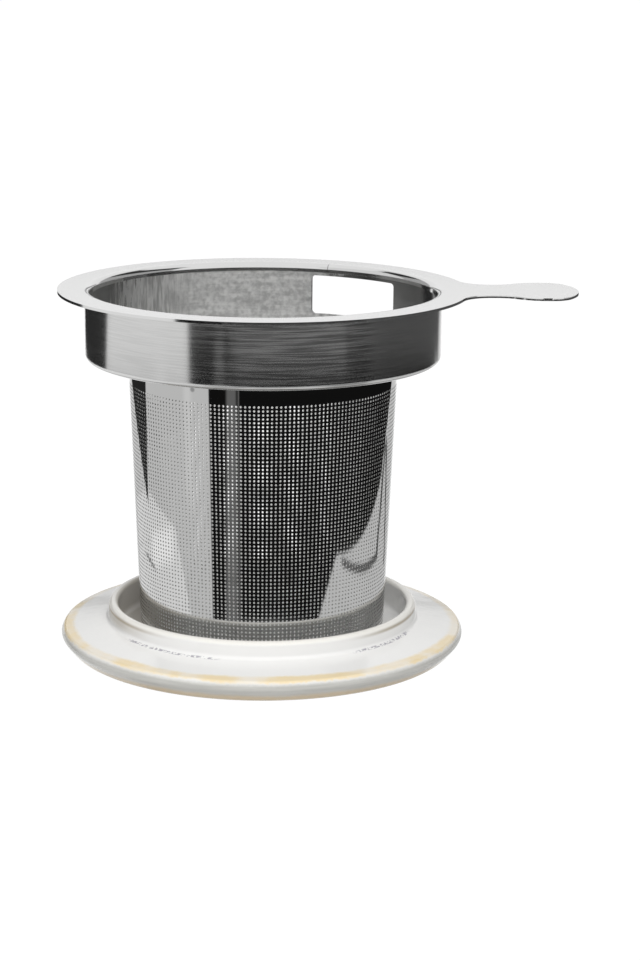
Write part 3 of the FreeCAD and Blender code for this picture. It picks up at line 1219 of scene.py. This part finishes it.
@dataclass(frozen=True)
class BasketFloor(Basket):
    """The perforated pan that closes the basket's foot."""

    nodes = ("basket_floor",)

    def build(self) -> None:
        """Etch the floor, trim it to a disc and turn up its rim."""
        sizes = self.sizes
        count = 2 * math.ceil(sizes.cells_reach / sizes.floor_pitch)
        half = count * sizes.floor_pitch / 2
        holes = self.sheet("basket_floor_pan", (sizes.floor_pitch,) * 2, (count, count))
        Workshop.remap(holes, lambda points: points + np.array([-half, -half, sizes.foot]))
        self.trim(holes)
        section = [
            Corner(sizes.pan_radius - sizes.floor_ledge, sizes.foot),
            Corner(sizes.pan_radius, sizes.foot, sizes.floor_fold),
            Corner(sizes.pan_radius, sizes.foot + sizes.floor_rim),
        ]
        rim = Workshop.lathe("floor_rim", rounded(section, closed=False), False, sizes.floor_segments)
        pan = Workshop.join("basket_floor_pan", [holes, rim])
        self.select_gap(pan)
        bpy.ops.mesh.fill(use_beauty=True)
        Workshop.turn_outwards()
        bpy.ops.object.mode_set(mode="OBJECT")
        Workshop.face_up(pan, False)
        Workshop.modify(pan, "SOLIDIFY", thickness=sizes.floor_gauge * MM, offset=-1.0)
        # The floor pan takes the inner face's lighter steel, a painted light.
        Workshop.finish(pan, self.steel.build_inside())
        self.deliver([pan])

    def trim(self, piece: bpy.types.Object) -> None:
        """Delete the cells that go beyond their reach.

        Args:
            piece: The etched sheet.
        """
        pitch = self.sizes.floor_pitch
        reach = self.sizes.cells_reach

        def beyond(place: Vector) -> bool:
            """Whether the far corner of the cell that a place is in is out of reach."""
            across, deep = ((math.floor(abs(part) / pitch) + 1) * pitch for part in place.xy)
            return math.hypot(across, deep) > reach

        chosen = [beyond(face.center / MM) for face in piece.data.polygons]
        Workshop.edit(piece)
        bpy.ops.mesh.select_mode(type="FACE")
        bpy.ops.mesh.select_all(action="DESELECT")
        bpy.ops.object.mode_set(mode="OBJECT")
        for face, pick in zip(piece.data.polygons, chosen):
            face.select = pick
        bpy.ops.object.mode_set(mode="EDIT")
        bpy.ops.mesh.delete(type="FACE")
        bpy.ops.object.mode_set(mode="OBJECT")

    def select_gap(self, pan: bpy.types.Object) -> None:
        """Open the pan with the two loops selected between which its floor is still open.

        The loops are the stepped edge of the cells and the ledge's inner edge. A hole's edges
        are shorter than either, and the rim's top edge lies higher.

        Args:
            pan: The cells joined with the turned-up rim.
        """
        innermost = 0.9 * self.sizes.cells_reach
        outermost = self.sizes.pan_radius - 0.1
        shortest = 0.3 * MM
        Workshop.select_where(pan, lambda place: False)
        bpy.ops.mesh.select_mode(type="EDGE")
        bpy.ops.mesh.select_non_manifold(
            extend=False, use_wire=False, use_multi_face=False, use_non_contiguous=False, use_verts=False
        )
        bpy.ops.object.mode_set(mode="OBJECT")
        vertices = pan.data.vertices
        foot = min(vertex.co.z for vertex in vertices)
        for edge in pan.data.edges:
            if not edge.select:
                continue
            ends = [vertices[index].co for index in edge.vertices]
            is_long = (ends[0] - ends[1]).length > shortest
            is_level = all(abs(end.z - foot) < NEAR * MM for end in ends)
            is_near = all(innermost < math.hypot(end.x, end.y) / MM < outermost for end in ends)
            edge.select = is_long and is_level and is_near
        bpy.ops.object.mode_set(mode="EDIT")


# Studio


@dataclass(frozen=True)
class CameraSizes:
    """The camera that was fitted to the photograph, and the picture's size in pixels."""

    place: tuple[float, float, float] = (12.743, -524.994, 163.761)
    pitch_down_degrees: float = 13.503
    roll: float = 0.010
    lens: float = 90.93
    sensor: float = 36.0
    nearest: float = 10.0
    farthest: float = 20000.0
    picture_width: int = 640
    picture_height: int = 960


@dataclass(frozen=True)
class Lamp:
    """A soft square lamp aimed at the object, which steel doesn't mirror."""

    name: str
    place: tuple[float, float, float]
    power: float
    size: float = 420.0
    aim: tuple[float, float, float] = (0.0, 0.0, 35.0)

    def hang(self) -> None:
        """Hang the lamp."""
        data = bpy.data.lights.new(self.name, "AREA")
        data.size = self.size * MM
        data.energy = self.power
        item = bpy.data.objects.new(self.name, data)
        bpy.context.scene.collection.objects.link(item)
        place = Vector(self.place) * MM
        item.location = place
        item.rotation_euler = (Vector(self.aim) * MM - place).to_track_quat("-Z", "Y").to_euler()
        item.visible_glossy = False


@dataclass(frozen=True)
class Backdrop:
    """Tones of the world and the floor, and the sizes of the floor and the surround."""

    seen: Colour = (1.0, 1.0, 1.0)
    light: Colour = (0.38, 0.383, 0.387)
    floor_tone: Colour = (0.8, 0.8, 0.8)
    floor_glow: Colour = (1.06, 1.06, 1.06)
    floor_glow_share: float = 0.94
    floor_size: float = 8000.0
    floor_level: float = -0.02
    surround_radius: float = 300.0
    surround_height: float = 1200.0
    surround_segments: int = 180
    surround_end_degrees: float = 158.0


@dataclass(frozen=True)
class FarStrip:
    """A dark strip far behind the object, low enough to miss the flat rim's reflection."""

    distance: float = 2000.0
    width: float = 2400.0
    low: float = 225.0
    high: float = 325.0
    tone: float = 0.04


@dataclass(frozen=True)
class Card:
    """A reflection card on the surround, between two edges that may lean.

    Bearings are degrees from the camera's side, negative to the left, and levels are
    heights in millimetres. An edge's lean is in degrees per millimetre of height.
    """

    left: float
    right: float
    low: float
    high: float
    tone: float
    left_lean: float = 0.0
    right_lean: float = 0.0
    soft_side: float = 0.6
    soft_level: float = 1.5

    def cover(self, bearing: Value, level: Value) -> Value:
        """Say where the card is.

        Args:
            bearing: Degrees from the camera's side.
            level: Height in millimetres.

        Returns:
            1 on the card and 0 off it.
        """
        from_left = (bearing - level * self.left_lean - self.left).above(0.0, self.soft_side)
        from_right = (bearing - level * self.right_lean - self.right).below(0.0, self.soft_side)
        upright = level.above(self.low, self.soft_level) * level.below(self.high, self.soft_level)
        return from_left * from_right * upright


@dataclass(frozen=True)
class TableEdge:
    """The rounded edge of the pale table to the right, below which the dark card ends."""

    bearing: float = 70.0
    width: float = 72.0
    depth: float = 68.0
    power: float = 1.8
    lean: float = 0.7
    high: float = 30.0
    tone: float = 0.72

    def cover(self, bearing: Value, level: Value) -> Value:
        """Say where the table shows.

        Args:
            bearing: Degrees from the camera's side.
            level: Height in millimetres.

        Returns:
            1 on the table and 0 off it.
        """
        across = ((bearing - self.bearing) / self.width).math("MAXIMUM", 0.0).math("POWER", self.power)
        down = (level / -self.depth).math("MAXIMUM", 0.0).math("POWER", self.power)
        table = (across + down).above(1.0, 0.02) * level.below(self.high, 5.0)
        return table * (bearing - (level + self.depth) * self.lean).above(self.bearing, 1.0)


@dataclass(frozen=True)
class TableLine:
    """The narrow dark line that curves across the pale table."""

    bearing: float = 92.0
    level: float = -71.8
    spread: float = 35.0
    rise: float = 7.0
    thickness: float = 1.6
    left: float = 76.0
    right: float = 128.0
    tone: float = 0.12

    def cover(self, bearing: Value, level: Value) -> Value:
        """Say where the line is.

        Args:
            bearing: Degrees from the camera's side.
            level: Height in millimetres.

        Returns:
            1 on the line and 0 off it.
        """
        share = (bearing - self.bearing) / self.spread
        height = share * share * self.rise + self.level
        line = (level - height).band(0.0, half=self.thickness, soft=0.6)
        return line * bearing.above(self.left, 1.0) * bearing.below(self.right, 1.0)


Reflection = Union[Card, TableEdge, TableLine]

# Later cards lie over earlier ones. The camera looks down, so the basket mirrors what is
# below a level of about 8 mm and the collar what is between about 8 and 40 mm.
CARDS: tuple[Reflection, ...] = (
    Card(-182, 182, -95, 60, 0.78, soft_level=8),
    Card(-160, 160, 40, 80, 0.05, soft_level=3),
    Card(-154, -114.5, 60, 230, 0.45),
    Card(-154, -114.5, 230, 400, 0.04),
    Card(-114.5, -44, 60, 400, 0.85),
    Card(-44, 70, 60, 400, 1.0),
    Card(70, 152, 60, 230, 0.45),
    Card(70, 152, 230, 400, 0.05),
    Card(-114.5, -44, -95, 8, 0.74),
    Card(-67, -60, -50, 0, 0.85, soft_side=3, soft_level=8),
    Card(-150, -212.5, -60, -42, 0.97, right_lean=-2.25),
    Card(-150, -108.8, -95, -60, 0.97, right_lean=-0.48),
    Card(-115, -84, -70, -58, 1.2, soft_side=5, soft_level=3),
    Card(-283, -280, -71, -64, 0.2, left_lean=-2.4, right_lean=-2.4),
    Card(-114.5, -44, 8, 60, 0.95),
    Card(-148.0, -113.5, -60, 60, 0.025, left_lean=-0.615, right_lean=0.108),
    Card(-43.6, 142, -95, 60, 0.008, right_lean=0.4),
    TableEdge(),
    TableLine(),
    Card(126.8, 130.0, -66, -22, 0.10, left_lean=-0.326, right_lean=-0.326),
    Card(136.0, 139.5, -66, -24, 0.10, left_lean=0.167, right_lean=0.167),
    Card(-28, -20.5, -95, -5, 0.17, left_lean=0.03, soft_side=1.5),
    Card(-19.0, -18.0, -95, -5, 0.16),
    Card(-27, -22, 6, 21, 0.35, soft_level=4, soft_side=1.0),
    Card(-18.2, -17.2, 6, 40, 0.25),
    Card(-16, 53, 6, 30.5, 0.30, soft_side=3, soft_level=3),
    Card(53, 150, 6, 40, 0.10, soft_side=3, soft_level=4),
    Card(55.5, 57, 6, 40, 0.14),
)
LAMPS = (Lamp("key", (160, -470, 540), 3.5), Lamp("fill", (-430, -400, 300), 1.0))


@dataclass(frozen=True)
class Studio:
    """Camera, lamps, backdrop and what the steel reflects."""

    camera: CameraSizes = CameraSizes()
    lamps: tuple[Lamp, ...] = LAMPS
    backdrop: Backdrop = Backdrop()
    strip: FarStrip = FarStrip()
    cards: tuple[Reflection, ...] = CARDS

    def build(self) -> None:
        """Set up the whole studio."""
        self.set_camera()
        self.set_world()
        self.lay_floor()
        self.hang_surround()
        self.stand_far_strip()
        for lamp in self.lamps:
            lamp.hang()
        self.set_render()

    def set_camera(self) -> None:
        """Stand the fitted camera in its place."""
        sizes = self.camera
        data = bpy.data.cameras.new("camera")
        data.sensor_fit = "VERTICAL"
        data.sensor_height = sizes.sensor
        data.lens = sizes.lens
        data.clip_start = sizes.nearest * MM
        data.clip_end = sizes.farthest * MM
        item = bpy.data.objects.new("camera", data)
        bpy.context.scene.collection.objects.link(item)
        tilt = Matrix.Rotation(math.radians(90 - sizes.pitch_down_degrees), 4, "X")
        roll = Matrix.Rotation(sizes.roll, 4, "Z")
        item.matrix_world = Matrix.Translation(Vector(sizes.place) * MM) @ tilt @ roll
        bpy.context.scene.camera = item

    def set_render(self) -> None:
        """Set the renderer and the picture's size."""
        scene = bpy.context.scene
        scene.render.engine = "CYCLES"
        scene.render.resolution_x = self.camera.picture_width
        scene.render.resolution_y = self.camera.picture_height
        scene.render.resolution_percentage = 100
        scene.view_settings.view_transform = "Standard"
        scene.cycles.max_bounces = 12
        scene.cycles.glossy_bounces = 8

    def set_world(self) -> None:
        """Make the world white where it is seen or mirrored, and a plain level as light."""
        world = bpy.data.worlds.new("backdrop")
        world.use_nodes = True
        bpy.context.scene.world = world
        nodes = Nodes(world.node_tree)
        seen = nodes.node("ShaderNodeLightPath", "Is Camera Ray")
        for kind in ("Is Glossy Ray", "Is Transmission Ray"):
            seen = seen + nodes.node("ShaderNodeLightPath", kind)
        colour = seen.math("MINIMUM", 1.0).mix(self.backdrop.light, self.backdrop.seen)
        nodes.connect(colour, nodes.tree.nodes["Background"].inputs["Color"])

    def lay_floor(self) -> None:
        """Lay the white floor, which keeps a faint shadow and is clear from below."""
        sizes = self.backdrop
        Workshop.clear_selection()
        bpy.ops.mesh.primitive_plane_add(size=sizes.floor_size * MM, location=(0, 0, sizes.floor_level * MM))
        floor = bpy.context.object
        floor.name = "floor"
        finish = Finish("floor")
        matt = finish.node("ShaderNodeBsdfDiffuse", Color=sizes.floor_tone)
        glow = finish.node("ShaderNodeEmission", Color=sizes.floor_glow)
        seen = finish.node("ShaderNodeLightPath", "Is Camera Ray")
        above = finish.blend(seen * sizes.floor_glow_share, matt, glow)
        from_below = finish.node("ShaderNodeNewGeometry", "Backfacing")
        clear = finish.node("ShaderNodeBsdfTransparent")
        floor.data.materials.append(finish.show(finish.blend(from_below, above, clear)))
        floor.visible_glossy = False

    def hang_surround(self) -> None:
        """Hang the cards on a cylinder round the object, open behind it."""
        sizes = self.backdrop
        Workshop.clear_selection()
        bpy.ops.mesh.primitive_cylinder_add(
            vertices=sizes.surround_segments,
            radius=sizes.surround_radius * MM,
            depth=sizes.surround_height * MM,
            end_fill_type="NOTHING",
            location=(0, 0, 0),
        )
        surround = bpy.context.object
        surround.name = "surround"
        end = math.radians(sizes.surround_end_degrees)
        Workshop.select_where(surround, lambda place: abs(math.atan2(place.x, -place.y)) > end)
        bpy.ops.mesh.delete(type="VERT")
        bpy.ops.object.mode_set(mode="OBJECT")
        finish = Finish("surround")
        bearing = finish.x.math("ARCTAN2", -1.0 * finish.y) * DEGREE
        colour: Union[Colour, Value] = sizes.seen
        for card in self.cards:
            colour = card.cover(bearing, finish.z).mix(colour, (card.tone,) * 3)
        self.show_to_mirrors(surround, finish, colour)

    def stand_far_strip(self) -> None:
        """Stand the dark strip low behind the object."""
        strip = self.strip
        Workshop.clear_selection()
        middle = (0, strip.distance * MM, (strip.low + strip.high) / 2 * MM)
        bpy.ops.mesh.primitive_plane_add(size=1, location=middle, rotation=(math.pi / 2, 0, 0))
        item = bpy.context.object
        item.name = "far_strip"
        item.scale = (strip.width * MM, (strip.high - strip.low) * MM, 1)
        self.show_to_mirrors(item, Finish("far strip"), (strip.tone,) * 3)

    @staticmethod
    def show_to_mirrors(item: bpy.types.Object, finish: Finish, colour: Union[Colour, Value]) -> None:
        """Make a studio object glow, and let only mirrored rays see it.

        Args:
            item: The object.
            finish: Its material.
            colour: The colour that it glows in.
        """
        item.data.materials.append(finish.show(finish.node("ShaderNodeEmission", Color=colour)))
        item.visible_camera = False
        item.visible_diffuse = False
        item.visible_transmission = False
        item.visible_shadow = False


def main() -> None:
    """Build every piece, then the studio, and note the sizes."""
    logging.basicConfig(level=logging.INFO, format="%(name)s %(message)s")
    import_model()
    for piece in (Lid(), RimPlate(), Collar(), Basket(), BasketFloor()):
        piece.build()
    Studio().build()
    Workshop.clear_selection()


if __name__ == "__main__":
    main()
